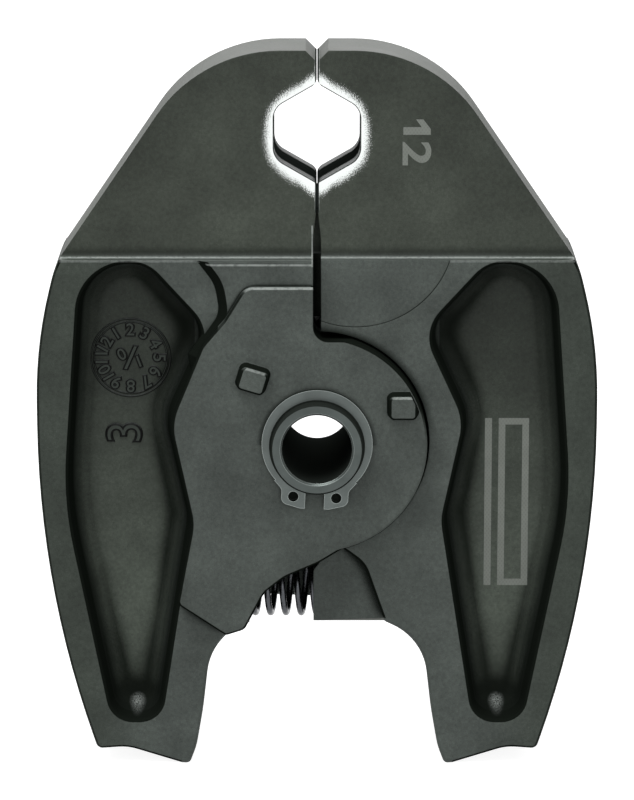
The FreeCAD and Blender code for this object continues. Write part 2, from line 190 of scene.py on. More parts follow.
# %% World and lamps
WORLD_LEVEL = 0.5
world = bpy.data.worlds.new("studio")
world.use_nodes = True
world.node_tree.nodes.clear()
tree = world.node_tree
level = add(tree, "ShaderNodeMapRange", {"Value": seen_rays(tree), "To Min": WORLD_LEVEL, "To Max": 1.0})
sky = add(tree, "ShaderNodeBackground", {"Color": linear("#ffffff"), "Strength": level.outputs[0]})
add(tree, "ShaderNodeOutputWorld", {"Surface": sky.outputs[0]})
bpy.context.scene.world = world
bpy.context.scene.view_settings.view_transform = "Standard"


def soft_lamp(name, place, width, height, power):
    """A flat area lamp that looks at the tool."""
    data = bpy.data.lights.new(name, "AREA")
    data.shape = "RECTANGLE"
    data.size = width
    data.size_y = height
    data.energy = power
    lamp = bpy.data.objects.new(name, data)
    lamp.location = place
    lamp.rotation_euler = (AIM - Vector(place)).to_track_quat("-Z", "Y").to_euler()
    bpy.context.scene.collection.objects.link(lamp)


soft_lamp("top_lamp", (-0.25, -0.25, 0.9), 0.6, 0.6, 6.0)
soft_lamp("front_lamp", (0.35, -1.0, 0.35), 0.6, 0.6, 1.5)
soft_lamp("back_lamp", (0.0, 1.1, 0.5), 1.2, 0.5, 4.0)
print("world level", WORLD_LEVEL)

# %% [markdown]
# ## Phosphated forged steel
# The arms are closed-die forgings: the die and the scale leave a fine pebbled skin. After milling they get a
# dark manganese phosphate coat and oil, which looks almost black-green, matt in the light and brighter at a
# flat angle. The finish could be painted on an image, but nodes on object coordinates keep the grain at its
# true size everywhere. First come the measures that all its masks share: how far up, across and deep a point
# is, which way its face looks, three sizes of noise for patches, pebbled skin and specks, and small pits. An
# Ambient Occlusion node finds the inner corners, where shade is painted into the colour. It reaches further
# at a pocket's lower end and inner wall.

# %% Measures of the forged steel
GRAIN = 0.55 * MM
PATCH = 9.0 * MM
PIT = 1.6 * MM
SPECKLE = 0.16 * MM
CORNER_REACH = 3.6 * MM
TIP_REACH = 5.6 * MM
NARROWING = (-18 * MM, -44 * MM)
INNER_WALL = (31 * MM, 25 * MM)
INNER_SHARE = 0.75
POCKET_START = 20 * MM


def steel_measures(tree):
    """Sockets by name: x, y and up, distances from axis and middle plane, facing, noises, pits, corners."""
    coordinates = add(tree, "ShaderNodeTexCoord")
    place = coordinates.outputs["Object"]
    x, y, z = add(tree, "ShaderNodeSeparateXYZ", {0: place}).outputs
    facing = add(tree, "ShaderNodeSeparateXYZ", {0: coordinates.outputs["Normal"]})
    found = {name: add(tree, "ShaderNodeMath", {0: socket}, operation="ABSOLUTE").outputs[0]
             for name, socket in (("across", x), ("deep", y), ("flat", facing.outputs[1]))}
    for name, size, detail in (("patches", PATCH, 4.0), ("grain", GRAIN, 3.0), ("speckle", SPECKLE, 2.0)):
        found[name] = add(tree, "ShaderNodeTexNoise", {"Vector": place, "Scale": 1 / size,
                                                       "Detail": detail}).outputs[0]
    low = add(tree, "ShaderNodeMapRange", {"Value": z, "From Min": NARROWING[0],
                                           "From Max": NARROWING[1]}).outputs[0]
    inner = add(tree, "ShaderNodeMapRange", {"Value": found["across"], "From Min": INNER_WALL[0],
                                             "From Max": INNER_WALL[1], "To Max": INNER_SHARE}).outputs[0]
    pocket = add(tree, "ShaderNodeMath", {0: found["across"], 1: POCKET_START},
                 operation="GREATER_THAN").outputs[0]
    found["low"] = largest(tree, low, product(tree, inner, pocket))
    reach = add(tree, "ShaderNodeMapRange", {"Value": found["low"], "To Min": CORNER_REACH,
                                             "To Max": TIP_REACH})
    found["corner"] = add(tree, "ShaderNodeAmbientOcclusion", {"Distance": reach.outputs[0]}, samples=12,
                          only_local=True).outputs["AO"]
    found["pits"] = add(tree, "ShaderNodeTexVoronoi", {"Vector": place, "Scale": 1 / PIT}).outputs[0]
    from_axis = add(tree, "ShaderNodeCombineXYZ", {0: x, 2: z}).outputs[0]
    found["radius"] = add(tree, "ShaderNodeVectorMath", {0: from_axis}, operation="LENGTH").outputs["Value"]
    # x times y is above zero where an arm has its own knuckle, and below zero where it has the other arm's.
    found.update(x=x, y=y, up=z, lit=facing.outputs[2], lapped=product(tree, x, y))
    return found


print("grain", GRAIN, "patches", PATCH)

# %% [markdown]
# ### Zones and fades
# Most masks of the coat follow from one measure. So each step lists them in two tables, where the limits, in
# millimetres or as a share of a face's direction, stand beside the name of the place. A zone has a sharp
# edge: it is past a limit, or within a half width of a middle. A fade goes softly from one value of the
# measure to another, and may give other levels than 0 and 1 there.

# %% Masks from tables
SPAN = ("From Min", "From Max", "To Min", "To Max")


def masks_of(tree, m, zones, fades):
    """Masks by name: a zone is a test on a measure with its limits, a fade a kind of curve with its span."""
    found = {}
    for name, (measure, test, *limits) in zones.items():
        found[name] = add(tree, "ShaderNodeMath", {0: m[measure], **dict(enumerate(limits, 1))},
                          operation=test).outputs[0]
    for name, (measure, curve, *span) in fades.items():
        found[name] = add(tree, "ShaderNodeMapRange", {"Value": m[measure], **dict(zip(SPAN, span))},
                          interpolation_type=curve).outputs[0]
    return found


print("a fade's span is", SPAN)

# %% [markdown]
# ### Tones of the coat
# The milled head is a little browner than the forged arms and darkens towards its tip and its sides. The
# pocket floors get painted shade, darkest at their top, where the lamp above doesn't reach. Slow patches, the
# grain and fine specks shift every tone a little. Real phosphate crystals are a hundredth of a millimetre
# across, so the specks are drawn much coarser, at 0.16 mm, to show at all.

# %% Tones of the coat
HEAD_FOOT = 30.05 * MM
ARM_TONE = "#535955"
OUTER_TONE = "#404640"
HEAD_TONE = "#434841"
FLOOR_TONE = "#393e38"
TONE_ZONES = {"arm": ("up", "LESS_THAN", HEAD_FOOT)}
TONE_FADES = {
    "head": ("up", "LINEAR", HEAD_FOOT + 0.2 * MM, HEAD_FOOT + 0.9 * MM),
    "sunk": ("deep", "SMOOTHSTEP", 5.6 * MM, 4.3 * MM),
    # Painted shade: the pocket floor darkens towards its top.
    "floor": ("up", "SMOOTHSTEP", -34 * MM, 28 * MM, 2.25, 0.8),
    "tip": ("up", "LINEAR", 36 * MM, 60 * MM, 1.1, 0.78),
    "sides": ("across", "SMOOTHSTEP", 16 * MM, 34 * MM, 1.12, 0.88),
    "outer": ("across", "SMOOTHSTEP", 24 * MM, 40 * MM),
    "patch": ("patches", "LINEAR", 0.3, 0.7, 0.78, 1.22),
    "pebble": ("grain", "LINEAR", 0.3, 0.7, 0.86, 1.14),
    "glint": ("speckle", "LINEAR", 0.6, 0.7, 1.0, 1.3),
    "dent": ("speckle", "LINEAR", 0.3, 0.4, 0.72, 1.0),
}


def coat_tone(tree, m):
    """Colour of the coat before its dark walls, bright edges and worn places; and where head and arms are."""
    mask = masks_of(tree, m, TONE_ZONES, TONE_FADES)
    low = add(tree, "ShaderNodeVectorMath", {0: linear(FLOOR_TONE)[:3], "Scale": mask["floor"]},
              operation="SCALE").outputs[0]
    head = add(tree, "ShaderNodeVectorMath", {0: linear(HEAD_TONE)[:3],
                                              "Scale": product(tree, mask["tip"], mask["sides"])},
               operation="SCALE").outputs[0]
    arm = add(tree, "ShaderNodeMix", {0: mask["outer"], 6: linear(ARM_TONE), 7: linear(OUTER_TONE)},
              data_type="RGBA").outputs[2]
    colour = add(tree, "ShaderNodeMix", {0: mask["head"], 6: arm, 7: head}, data_type="RGBA").outputs[2]
    colour = add(tree, "ShaderNodeMix", {0: product(tree, mask["sunk"], mask["arm"]), 6: colour, 7: low},
                 data_type="RGBA").outputs[2]
    tone = product(tree, mask["patch"], mask["pebble"], mask["glint"], mask["dent"])
    colour = add(tree, "ShaderNodeVectorMath", {0: colour, "Scale": tone}, operation="SCALE").outputs[0]
    return colour, mask["head"], mask["arm"]


print("tones", ARM_TONE, HEAD_TONE, FLOOR_TONE)

# %% [markdown]
# ### Painted shade on the walls
# The steep walls of pockets, recess and slot get painted shade, black and matt, but not the outer sides of
# the arms, whose outline is a long arc. Walls that look up to the lamps get none, but for the few places in
# the table. The rim of the knuckle gets the same painted shade, but only in its upper half.

# %% Painted shade on the walls
KNUCKLE_RADIUS = 18.0 * MM
KNUCKLE_RIM = KNUCKLE_RADIUS - 0.1 * MM
SIDE_X = 45.65 * MM
SIDE_Z = 4.0 * MM
SIDE_CURVE = 170 * MM
SIDE_EDGE = 1.8 * MM
WALL_ZONES = {
    "rim": ("radius", "COMPARE", KNUCKLE_RIM, 0.3 * MM),
    "on_knuckle": ("radius", "LESS_THAN", KNUCKLE_RIM),
    "below_face": ("deep", "LESS_THAN", 13.05 * MM),
    "run_out": ("up", "COMPARE", 17.1 * MM, 1.8 * MM),
    "lug": ("deep", "COMPARE", 14.2 * MM, 1.1 * MM),
    "channel": ("across", "COMPARE", 21.0 * MM, 5.0 * MM),
    "slot": ("across", "LESS_THAN", 1.0 * MM),
    "foot": ("up", "LESS_THAN", -38 * MM),
    "above_crotch": ("up", "GREATER_THAN", -30 * MM),
    "leg": ("across", "GREATER_THAN", 22.5 * MM),
    "step": ("deep", "GREATER_THAN", 10.9 * MM),
    "above_foot": ("up", "GREATER_THAN", -37 * MM),
}
WALL_FADES = {
    "steep": ("flat", "SMOOTHSTEP", 0.98, 0.78),
    "depth": ("deep", "LINEAR", 4.3 * MM, 7.2 * MM, 0.3, 1.0),
    "unlit": ("lit", "LINEAR", 0.9, 0.35),
    "upper": ("up", "SMOOTHSTEP", -1.0 * MM, 7.0 * MM),
}


def black_walls(tree, m, is_arm):
    """Masks of painted shade on steep faces, of what is within the arms' outline and of the knuckle's upper
    half.
    The outline is an arc: its widest x, less the square of the height over it by twice its radius."""
    mask = masks_of(tree, m, WALL_ZONES, WALL_FADES)
    rim = product(tree, mask["rim"], mask["below_face"])
    unlit = largest(tree, mask["unlit"], rim, mask["run_out"], mask["lug"], mask["channel"], mask["slot"],
                    mask["foot"])
    fall = add(tree, "ShaderNodeMath", {0: m["up"], 1: SIDE_Z}, operation="SUBTRACT").outputs[0]
    side = add(tree, "ShaderNodeMath", {0: product(tree, fall, fall), 1: -1 / (2 * SIDE_CURVE), 2: SIDE_X},
               operation="MULTIPLY_ADD").outputs[0]
    side = add(tree, "ShaderNodeMath", {0: side, 1: m["across"]}, operation="SUBTRACT").outputs[0]
    within = add(tree, "ShaderNodeMath", {0: side, 1: SIDE_EDGE}, operation="GREATER_THAN").outputs[0]
    place = largest(tree, mask["above_crotch"], mask["leg"], product(tree, mask["step"], mask["above_foot"]))
    lower = add(tree, "ShaderNodeMath", {0: 1.0, 1: mask["upper"]}, operation="SUBTRACT").outputs[0]
    lower = product(tree, lower, rim, mask["on_knuckle"])
    without_lower_rim = add(tree, "ShaderNodeMath", {0: 1.0, 1: lower}, operation="SUBTRACT").outputs[0]
    # Painted shade: black and matt on steep walls that don't look up to the lamps.
    painted_shade = product(tree, mask["steep"], mask["depth"], unlit, within, place, is_arm, without_lower_rim)
    return painted_shade, within, mask["upper"]


print("knuckle radius", KNUCKLE_RADIUS)

# %% [markdown]
# ### Painted shade in corners
# Painted shade darkens the other arm's face next to the knuckle. Painted shade fills the corners of the
# pockets, in a broad band below and a thin line on the faces. The outer chamfers that look sideways get
# painted shade. Under the ring's edge and in the two holes of its lugs, the knuckle's face gets painted shade
# too.

# %% Painted shade in corners
RING_RADIUS = 9.1 * MM
RING_HOLES = ((3.87, -8.29), (-3.13, -8.6))
HOLE_EDGE = (1.0 * MM, 0.7 * MM)
POCKET_DEEP = 9.0 * MM
CORNER_SHADE_START = 0.97
CORNER_SHADE_LEVEL = 0.95
SHADE_ZONES = {
    "other_arm": ("lapped", "LESS_THAN", 0.0),
    "off_knuckle": ("radius", "GREATER_THAN", KNUCKLE_RADIUS + 0.1 * MM),
    "arm_face": ("deep", "LESS_THAN", 11.5 * MM),
    "pocket": ("deep", "LESS_THAN", POCKET_DEEP),
    "outside": ("across", "GREATER_THAN", 18.0 * MM),
    "step_face": ("deep", "LESS_THAN", 12.0 * MM),
    "chamfer": ("flat", "COMPARE", 0.7, 0.2),
    "above_pin": ("up", "GREATER_THAN", 0.0),
}
SHADE_FADES = {
    "knuckle": ("radius", "SMOOTHSTEP", KNUCKLE_RADIUS + 1.7 * MM, KNUCKLE_RADIUS + 0.2 * MM, 0.0, 0.8),
    "full": ("low", "LINEAR", 0.0, 1.0, 0.72, 0.86),
    "line": ("corner", "SMOOTHSTEP", 0.76, 0.56, 0.0, CORNER_SHADE_LEVEL),
    "sideward": ("lit", "LINEAR", 0.45, 0.3, 0.0, 0.7),
    "ring": ("radius", "SMOOTHSTEP", RING_RADIUS + 0.9 * MM, RING_RADIUS, 0.0, 0.5),
}


def shade_and_dirt(tree, m, is_arm, within, upper):
    """One mask of painted shade by knuckle and ring, in corners, on sideways chamfers and in the ring's
    holes.
    """
    mask = masks_of(tree, m, SHADE_ZONES, SHADE_FADES)
    # Painted shadow of the knuckle on the other arm's face, in its upper half.
    shade = product(tree, mask["knuckle"], mask["other_arm"], mask["off_knuckle"], mask["arm_face"], upper)
    # Painted shade in the pockets' corners, found by Ambient Occlusion, and a thin line below steps.
    corner_shade = add(tree, "ShaderNodeMapRange", {"Value": m["corner"], "From Min": CORNER_SHADE_START,
                                            "From Max": mask["full"], "To Max": CORNER_SHADE_LEVEL},
               interpolation_type="SMOOTHSTEP").outputs[0]
    corner_shade = largest(tree, product(tree, corner_shade, mask["pocket"], mask["outside"]),
                   product(tree, mask["line"], mask["step_face"]))
    beyond = add(tree, "ShaderNodeMath", {0: 1.0, 1: within}, operation="SUBTRACT").outputs[0]
    dark = [shade, product(tree, corner_shade, is_arm), product(tree, mask["ring"], mask["above_pin"]),
            product(tree, beyond, mask["chamfer"], mask["sideward"], is_arm)]
    front = add(tree, "ShaderNodeMath", {0: m["y"]}, operation="SIGN").outputs[0]
    spot = add(tree, "ShaderNodeCombineXYZ", {0: product(tree, m["x"], front), 2: m["up"]}).outputs[0]
    for x, z in RING_HOLES:
        reach = add(tree, "ShaderNodeVectorMath", {0: spot, 1: (x * MM, 0.0, z * MM)},
                    operation="DISTANCE").outputs["Value"]
        dark.append(add(tree, "ShaderNodeMapRange", {"Value": reach, "From Min": HOLE_EDGE[0],
                                                     "From Max": HOLE_EDGE[1], "To Max": 0.9}).outputs[0])
    return largest(tree, *dark)


print("ring radius", RING_RADIUS, "holes", len(RING_HOLES))

# %% [markdown]
# ### Painted highlights on edges
# Edges that look up and forward get a painted highlight in a light tone, broken up by the grain: the chamfers
# at the arms' faces, the ledge under the head and the upper edges of the boss and slot. The hollow just above
# the ledge gets painted shade. At each pocket's lower end, where its floor rises, a small painted highlight
# spot is added.

# %% Painted highlights on edges
# Tone of all painted shade on the coat.
PAINTED_SHADE_TONE = "#181c18"
# Tone of painted highlights on edges and at the pocket's spot.
PAINTED_HIGHLIGHT_TONE = "#9aa09c"
HEAD_HALF = 7.5 * MM
BOSS_EDGE = 29.55 * MM
FRONT_SHARE = 0.4
EDGE_ZONES = {
    "outer": ("deep", "GREATER_THAN", 9.7 * MM),
    "above_toe": ("up", "GREATER_THAN", -40 * MM),
    "knuckle": ("radius", "COMPARE", KNUCKLE_RADIUS, 0.45 * MM),
    "ledge": ("up", "COMPARE", HEAD_FOOT, 0.35 * MM),
    "head_corner": ("deep", "COMPARE", HEAD_HALF + 0.7 * MM, 0.35 * MM),
    "front_corner": ("deep", "COMPARE", 10.2 * MM, 0.25 * MM),
    "boss": ("up", "COMPARE", BOSS_EDGE, 0.16 * MM),
    "proud": ("deep", "GREATER_THAN", 11.2 * MM),
    "slot": ("across", "COMPARE", 0.78 * MM, 0.12 * MM),
    "own_arm": ("lapped", "GREATER_THAN", 0.0),
    "slot_top": ("up", "COMPARE", HEAD_FOOT + 2.2 * MM, 3.0 * MM),
    "head": ("up", "GREATER_THAN", HEAD_FOOT + 0.3 * MM),
    "head_face": ("deep", "LESS_THAN", HEAD_HALF + 0.2 * MM),
}
EDGE_FADES = {
    "upward": ("lit", "LINEAR", 0.5, 0.68),
    "turned": ("flat", "LINEAR", 0.4, 0.6),
    "highlight_share": ("grain", "LINEAR", 0.25, 0.55, 0.35, 1.0),
    "hollow": ("up", "SMOOTHSTEP", HEAD_FOOT + 2.2 * MM, HEAD_FOOT + 0.5 * MM, 0.0, 0.6),
}


def bright_edges(tree, m, colour):
    """The colour with painted highlights on small faces that look up and forward, and painted shade over the
    ledge.
    """
    mask = masks_of(tree, m, EDGE_ZONES, EDGE_FADES)
    plain = add(tree, "ShaderNodeMath", {0: 1.0, 1: mask["knuckle"]}, operation="SUBTRACT").outputs[0]
    chamfer = product(tree, mask["upward"], mask["turned"], mask["outer"], mask["above_toe"], plain)
    line = add(tree, "ShaderNodeMath", {0: mask["front_corner"], 1: FRONT_SHARE, 2: mask["head_corner"]},
               operation="MULTIPLY_ADD").outputs[0]
    # Painted highlight on small faces that look up and forward, on the ledge and on the boss and slot edges.
    worn = largest(tree, chamfer, product(tree, line, mask["ledge"]),
                   product(tree, mask["boss"], mask["proud"]),
                   product(tree, mask["slot"], mask["own_arm"], mask["slot_top"]))
    worn = product(tree, worn, mask["highlight_share"])
    # Painted shade in the hollow just above the ledge.
    dark = product(tree, mask["hollow"], mask["head"], mask["head_face"])
    colour = add(tree, "ShaderNodeMix", {0: dark, 6: colour, 7: linear(PAINTED_SHADE_TONE)},
                 data_type="RGBA").outputs[2]
    return add(tree, "ShaderNodeMix", {0: worn, 6: colour, 7: linear(PAINTED_HIGHLIGHT_TONE)}, data_type="RGBA").outputs[2]


print("painted_shade", PAINTED_SHADE_TONE, "edges", PAINTED_HIGHLIGHT_TONE)

# %% Painted highlight spot
SPOT = (29.9 * MM, 0.0, -45.8 * MM)
SPOT_EDGE = (1.6 * MM, 0.2 * MM)
SPOT_ZONES = {"pocket": ("deep", "LESS_THAN", POCKET_DEEP)}
SPOT_FADES = {"rough": ("speckle", "LINEAR", 0.35, 0.6)}


def rubbed_spot(tree, m, colour, painted_shade):
    """The colour and painted shade's mask, with a painted highlight spot where a pocket's lower end rises."""
    mask = masks_of(tree, m, SPOT_ZONES, SPOT_FADES)
    spot = add(tree, "ShaderNodeCombineXYZ", {0: m["across"], 2: m["up"]}).outputs[0]
    reach = add(tree, "ShaderNodeVectorMath", {0: spot, 1: SPOT}, operation="DISTANCE").outputs["Value"]
    # Painted highlight spot where the pocket's lower end rises from its floor.
    highlight_share = add(tree, "ShaderNodeMapRange", {"Value": reach, "From Min": SPOT_EDGE[0],
                                              "From Max": SPOT_EDGE[1]},
                 interpolation_type="SMOOTHSTEP").outputs[0]
    highlight_share = product(tree, highlight_share, mask["rough"], mask["pocket"])
    keep = add(tree, "ShaderNodeMath", {0: 1.0, 1: highlight_share}, operation="SUBTRACT").outputs[0]
    colour = add(tree, "ShaderNodeMix", {0: highlight_share, 6: colour, 7: linear(PAINTED_HIGHLIGHT_TONE)},
                 data_type="RGBA").outputs[2]
    return colour, product(tree, painted_shade, keep)


print("spot at", SPOT)

# %% [markdown]
# ### Worn steel round the press contour
# Pressing rubs the coat off in a ragged ring round the contour and in a thin line along the parting faces.
# The ring's shape lies between the contour's hexagon and a circle. The walls inside the contour are dark,
# with a thin dark line at their edge and a painted highlight band near their front. The groove for the
# fitting's bead and the gap at the parting get painted shade, dark and matt.

# %% Worn steel round the press contour
CONTOUR_HEIGHT = 50.35 * MM
WORN_RADIUS = 8.4 * MM
ROUNDNESS = 0.75
RAGGED = 3.2 * MM
SEAM_RAGGED = 0.35 * MM
SEAM_EDGE = (0.62 * MM, 0.42 * MM)
BARE_TONE = "#e3e7e5"
WALL_TONE = "#2c312f"
# Tone of a painted highlight band near the front of the contour's walls.
LIP_HIGHLIGHT_TONE = "#5a605e"
# Tone of painted shade in the bead groove.
GROOVE_SHADE_TONE = "#3a3f3c"
HEX_HALF = 7.0 * MM
HEX_LINE = 0.14 * MM
CORNER_RADIUS = 3.0 * MM
CORNER_OUT = HEX_HALF - CORNER_RADIUS
CORNER_RISE = CORNER_OUT * math.tan(math.radians(30))
CONTOUR_ZONES = {
    "below_face": ("deep", "LESS_THAN", HEAD_HALF - 0.25 * MM),
    "inside": ("reach", "LESS_THAN", 9.6 * MM),
    "gap": ("across", "LESS_THAN", 0.32 * MM),
    "beyond": ("across", "GREATER_THAN", HEX_HALF - CORNER_RADIUS / 2),
    "groove": ("deep", "LESS_THAN", 4.2 * MM),
    "lip": ("deep", "COMPARE", HEAD_HALF - 0.8 * MM, 0.2 * MM),
    "head": ("off", "LESS_THAN", 12.965 * MM),
}
CONTOUR_FADES = {
    "lower": ("rise", "LINEAR", 0.0, -10.0 * MM, 0.0, 0.6 * MM),
    "taper": ("across", "SMOOTHSTEP", 3.0 * MM, 0.4 * MM, 0.0, 0.9 * MM),
    "near": ("off", "LINEAR", 13.0 * MM, 9.5 * MM),
    "wall": ("flat", "LINEAR", 0.8, 0.6),
}


def hexagon_sizes(tree, m, beyond):
    """How far out a point is, by the sharp hexagon and by the one with round corners. By the sharp one it is
    the larger of across, and half of across plus the height times the root of three quarters."""
    slope = product(tree, m["off"], math.sqrt(0.75))
    slope = add(tree, "ShaderNodeMath", {0: m["across"], 1: 0.5, 2: slope},
                operation="MULTIPLY_ADD").outputs[0]
    flats = largest(tree, m["across"], slope)
    out = add(tree, "ShaderNodeMath", {0: m["across"], 1: CORNER_OUT}, operation="SUBTRACT").outputs[0]
    over = add(tree, "ShaderNodeMath", {0: m["off"], 1: CORNER_RISE}, operation="SUBTRACT").outputs[0]
    corner = add(tree, "ShaderNodeCombineXYZ", {0: out, 1: over}).outputs[0]
    corner = add(tree, "ShaderNodeVectorMath", {0: corner}, operation="LENGTH").outputs["Value"]
    corner = add(tree, "ShaderNodeMath", {0: corner, 1: CORNER_OUT}, operation="ADD").outputs[0]
    turn = add(tree, "ShaderNodeMath", {0: over, 1: 0.0}, operation="GREATER_THAN").outputs[0]
    rounded = add(tree, "ShaderNodeMix", {0: product(tree, turn, beyond), 2: flats, 3: corner},
                  data_type="FLOAT").outputs[0]
    return flats, rounded


def worn_ring(tree, m, colour):
    """The colour with bare steel round the contour and along the seam; masks of bare steel and of painted
    shade.
    """
    rise = add(tree, "ShaderNodeMath", {0: m["up"], 1: CONTOUR_HEIGHT}, operation="SUBTRACT").outputs[0]
    spot = add(tree, "ShaderNodeCombineXYZ", {0: m["across"], 2: rise}).outputs[0]
    reach = add(tree, "ShaderNodeVectorMath", {0: spot}, operation="LENGTH").outputs["Value"]
    off = add(tree, "ShaderNodeMath", {0: rise}, operation="ABSOLUTE").outputs[0]
    m = {**m, "rise": rise, "reach": reach, "off": off}
    mask = masks_of(tree, m, CONTOUR_ZONES, CONTOUR_FADES)
    flats, rounded = hexagon_sizes(tree, m, mask["beyond"])
    ragged = add(tree, "ShaderNodeMix", {0: ROUNDNESS, 2: flats, 3: reach}, data_type="FLOAT").outputs[0]
    for part in (mask["lower"], mask["taper"]):
        ragged = add(tree, "ShaderNodeMath", {0: ragged, 1: part}, operation="SUBTRACT").outputs[0]
    ragged = add(tree, "ShaderNodeMath", {0: m["speckle"], 1: RAGGED, 2: ragged},
                 operation="MULTIPLY_ADD").outputs[0]
    halo = add(tree, "ShaderNodeMapRange", {"Value": ragged, "From Min": WORN_RADIUS + 2.0 * MM,
                                            "From Max": WORN_RADIUS + 0.9 * MM},
               interpolation_type="SMOOTHSTEP").outputs[0]
    seam = add(tree, "ShaderNodeMath", {0: m["grain"], 1: SEAM_RAGGED, 2: m["across"]},
               operation="MULTIPLY_ADD").outputs[0]
    seam = add(tree, "ShaderNodeMapRange", {"Value": seam, "From Min": SEAM_EDGE[0],
                                            "From Max": SEAM_EDGE[1]}).outputs[0]
    bare = largest(tree, halo, product(tree, seam, mask["near"]))
    edge = add(tree, "ShaderNodeMath", {0: rounded, 1: HEX_HALF, 2: HEX_LINE},
               operation="COMPARE").outputs[0]
    wall = product(tree, largest(tree, mask["wall"], mask["below_face"]), mask["inside"])
    wall = product(tree, largest(tree, wall, mask["gap"], edge), mask["head"])
    # Groove and gap take painted shade, and the lip a lighter painted highlight band.
    inner = add(tree, "ShaderNodeMix", {0: mask["groove"], 6: linear(WALL_TONE), 7: linear(GROOVE_SHADE_TONE)},
                data_type="RGBA").outputs[2]
    inner = add(tree, "ShaderNodeMix", {0: mask["lip"], 6: inner, 7: linear(LIP_HIGHLIGHT_TONE)},
                data_type="RGBA").outputs[2]
    keep = add(tree, "ShaderNodeMath", {0: 1.0, 1: wall}, operation="SUBTRACT").outputs[0]
    bare = product(tree, bare, keep)
    colour = add(tree, "ShaderNodeMix", {0: bare, 6: colour, 7: linear(BARE_TONE)},
                 data_type="RGBA").outputs[2]
    colour = add(tree, "ShaderNodeMix", {0: wall, 6: colour, 7: inner}, data_type="RGBA").outputs[2]
    return colour, bare, product(tree, largest(tree, mask["gap"], mask["groove"]), wall)


print("worn to", WORN_RADIUS)

# %% [markdown]
# ### The finish put together
# The grain and the pits become a shallow bump, half as strong on the milled head, over edges that a Bevel
# node rounds by a third of a millimetre. The coat's gloss is low, because phosphate crystals soak up the oil.
# The painted shade has no gloss at all, so it is a plain diffuse shader mixed in by its mask, and so is that
# of groove and gap.

# %% Phosphated forged steel
EDGE_ROUND = 0.35 * MM
SKIN_DEPTH = 0.04 * MM
PIT_SHARE = 0.5
ARM_SKIN = 0.6
HEAD_SKIN = 0.3
PAINTED_SHADE_DULL = 0.4
COAT_IOR = 1.5
COAT_GLOSS = 0.14
FINISH_FADES = {
    "pits": ("pits", "LINEAR", 0.0, 0.12),
    "dull": ("patches", "LINEAR", 0.0, 1.0, 0.4, 0.58),
}


def forged_steel(name):
    """Forged, milled and phosphated steel, bare round the press contour and at the parting faces."""
    material, tree, output = new_material(name)
    m = steel_measures(tree)
    mask = masks_of(tree, m, {}, FINISH_FADES)
    colour, is_head, is_arm = coat_tone(tree, m)
    painted_shade, within, upper = black_walls(tree, m, is_arm)
    painted_shade = largest(tree, painted_shade, shade_and_dirt(tree, m, is_arm, within, upper))
    colour = add(tree, "ShaderNodeMix", {0: painted_shade, 6: colour, 7: linear(PAINTED_SHADE_TONE)},
                 data_type="RGBA").outputs[2]
    colour, painted_shade = rubbed_spot(tree, m, colour, painted_shade)
    colour = bright_edges(tree, m, colour)
    colour, bare, painted_groove_shade = worn_ring(tree, m, colour)
    height = add(tree, "ShaderNodeMath", {0: mask["pits"], 1: PIT_SHARE, 2: m["grain"]},
                 operation="MULTIPLY_ADD").outputs[0]
    skin = add(tree, "ShaderNodeMapRange", {"Value": is_head, "To Min": ARM_SKIN,
                                            "To Max": HEAD_SKIN}).outputs[0]
    rounded = add(tree, "ShaderNodeBevel", {"Radius": EDGE_ROUND}, samples=4).outputs[0]
    bump = add(tree, "ShaderNodeBump", {"Height": height, "Distance": SKIN_DEPTH, "Strength": skin,
                                        "Normal": rounded}).outputs[0]
    dull = add(tree, "ShaderNodeMath", {0: painted_shade, 1: PAINTED_SHADE_DULL, 2: mask["dull"]},
               operation="MULTIPLY_ADD").outputs[0]
    shader = add(tree, "ShaderNodeBsdfPrincipled", {"Base Color": colour, "IOR": COAT_IOR, "Roughness": dull,
                                                    "Specular IOR Level": COAT_GLOSS, "Metallic": bare,
                                                    "Normal": bump})
    matt = add(tree, "ShaderNodeBsdfDiffuse", {"Color": colour, "Normal": bump})
    # Painted shade, and that of groove and gap, is a matt diffuse shader without gloss.
    finish = add(tree, "ShaderNodeMixShader", {0: largest(tree, painted_shade, painted_groove_shade), 1: shader.outputs[0],
                                               2: matt.outputs[0]})
    tree.links.new(finish.outputs[0], output.inputs["Surface"])
    return material


jaw_steel = forged_steel("phosphated_forged_steel")
dress(("left_jaw", "right_jaw"), jaw_steel)
print("jaws dressed in", jaw_steel.name)

# %% [markdown]
# ## Turned pin and stamped rings
# The pin is hardened, turned and ground bright, then lightly blackened, so fine rings run round its end. The
# retaining rings are stamped from spring steel. Their broad faces are flat and a little lighter than the
# arms. The turned rings come from a fine noise on the distance from the pin's axis. They are about 0.1 mm
# apart on a real pin, and are drawn 0.25 mm apart so that they show. A Bevel node tells where an edge is: its
# rounded direction differs there from the true one, and a painted highlight goes there. The side walls, the
# bore and a line at the pin's seat in the ring get painted shade, black and matt.

# %% Turned pin and stamped rings
TOOL_MARK = 0.25 * MM
MARK_DEPTH = 0.02 * MM
STAIN = 3.0 * MM
DULL_SPREAD = (-0.06, 0.1)
EDGE_LIGHT = 0.2 * MM
# Tone of painted highlights on turned edges.
EDGE_HIGHLIGHT_STEEL = "#8f9693"
# Tone of painted shade on side walls, bore and seat.
PAINTED_SHADE_BLACK = "#272b28"
TURNED_ZONES = {"seat": ("radius", "COMPARE", 7.5 * MM, 0.28 * MM)}
TURNED_FADES = {
    "tone": ("patches", "LINEAR", 0.3, 0.7, 0.85, 1.12),
    "side": ("flat", "LINEAR", 0.6, 0.4),
    "edge": ("bend", "LINEAR", 0.995, 0.93),
}


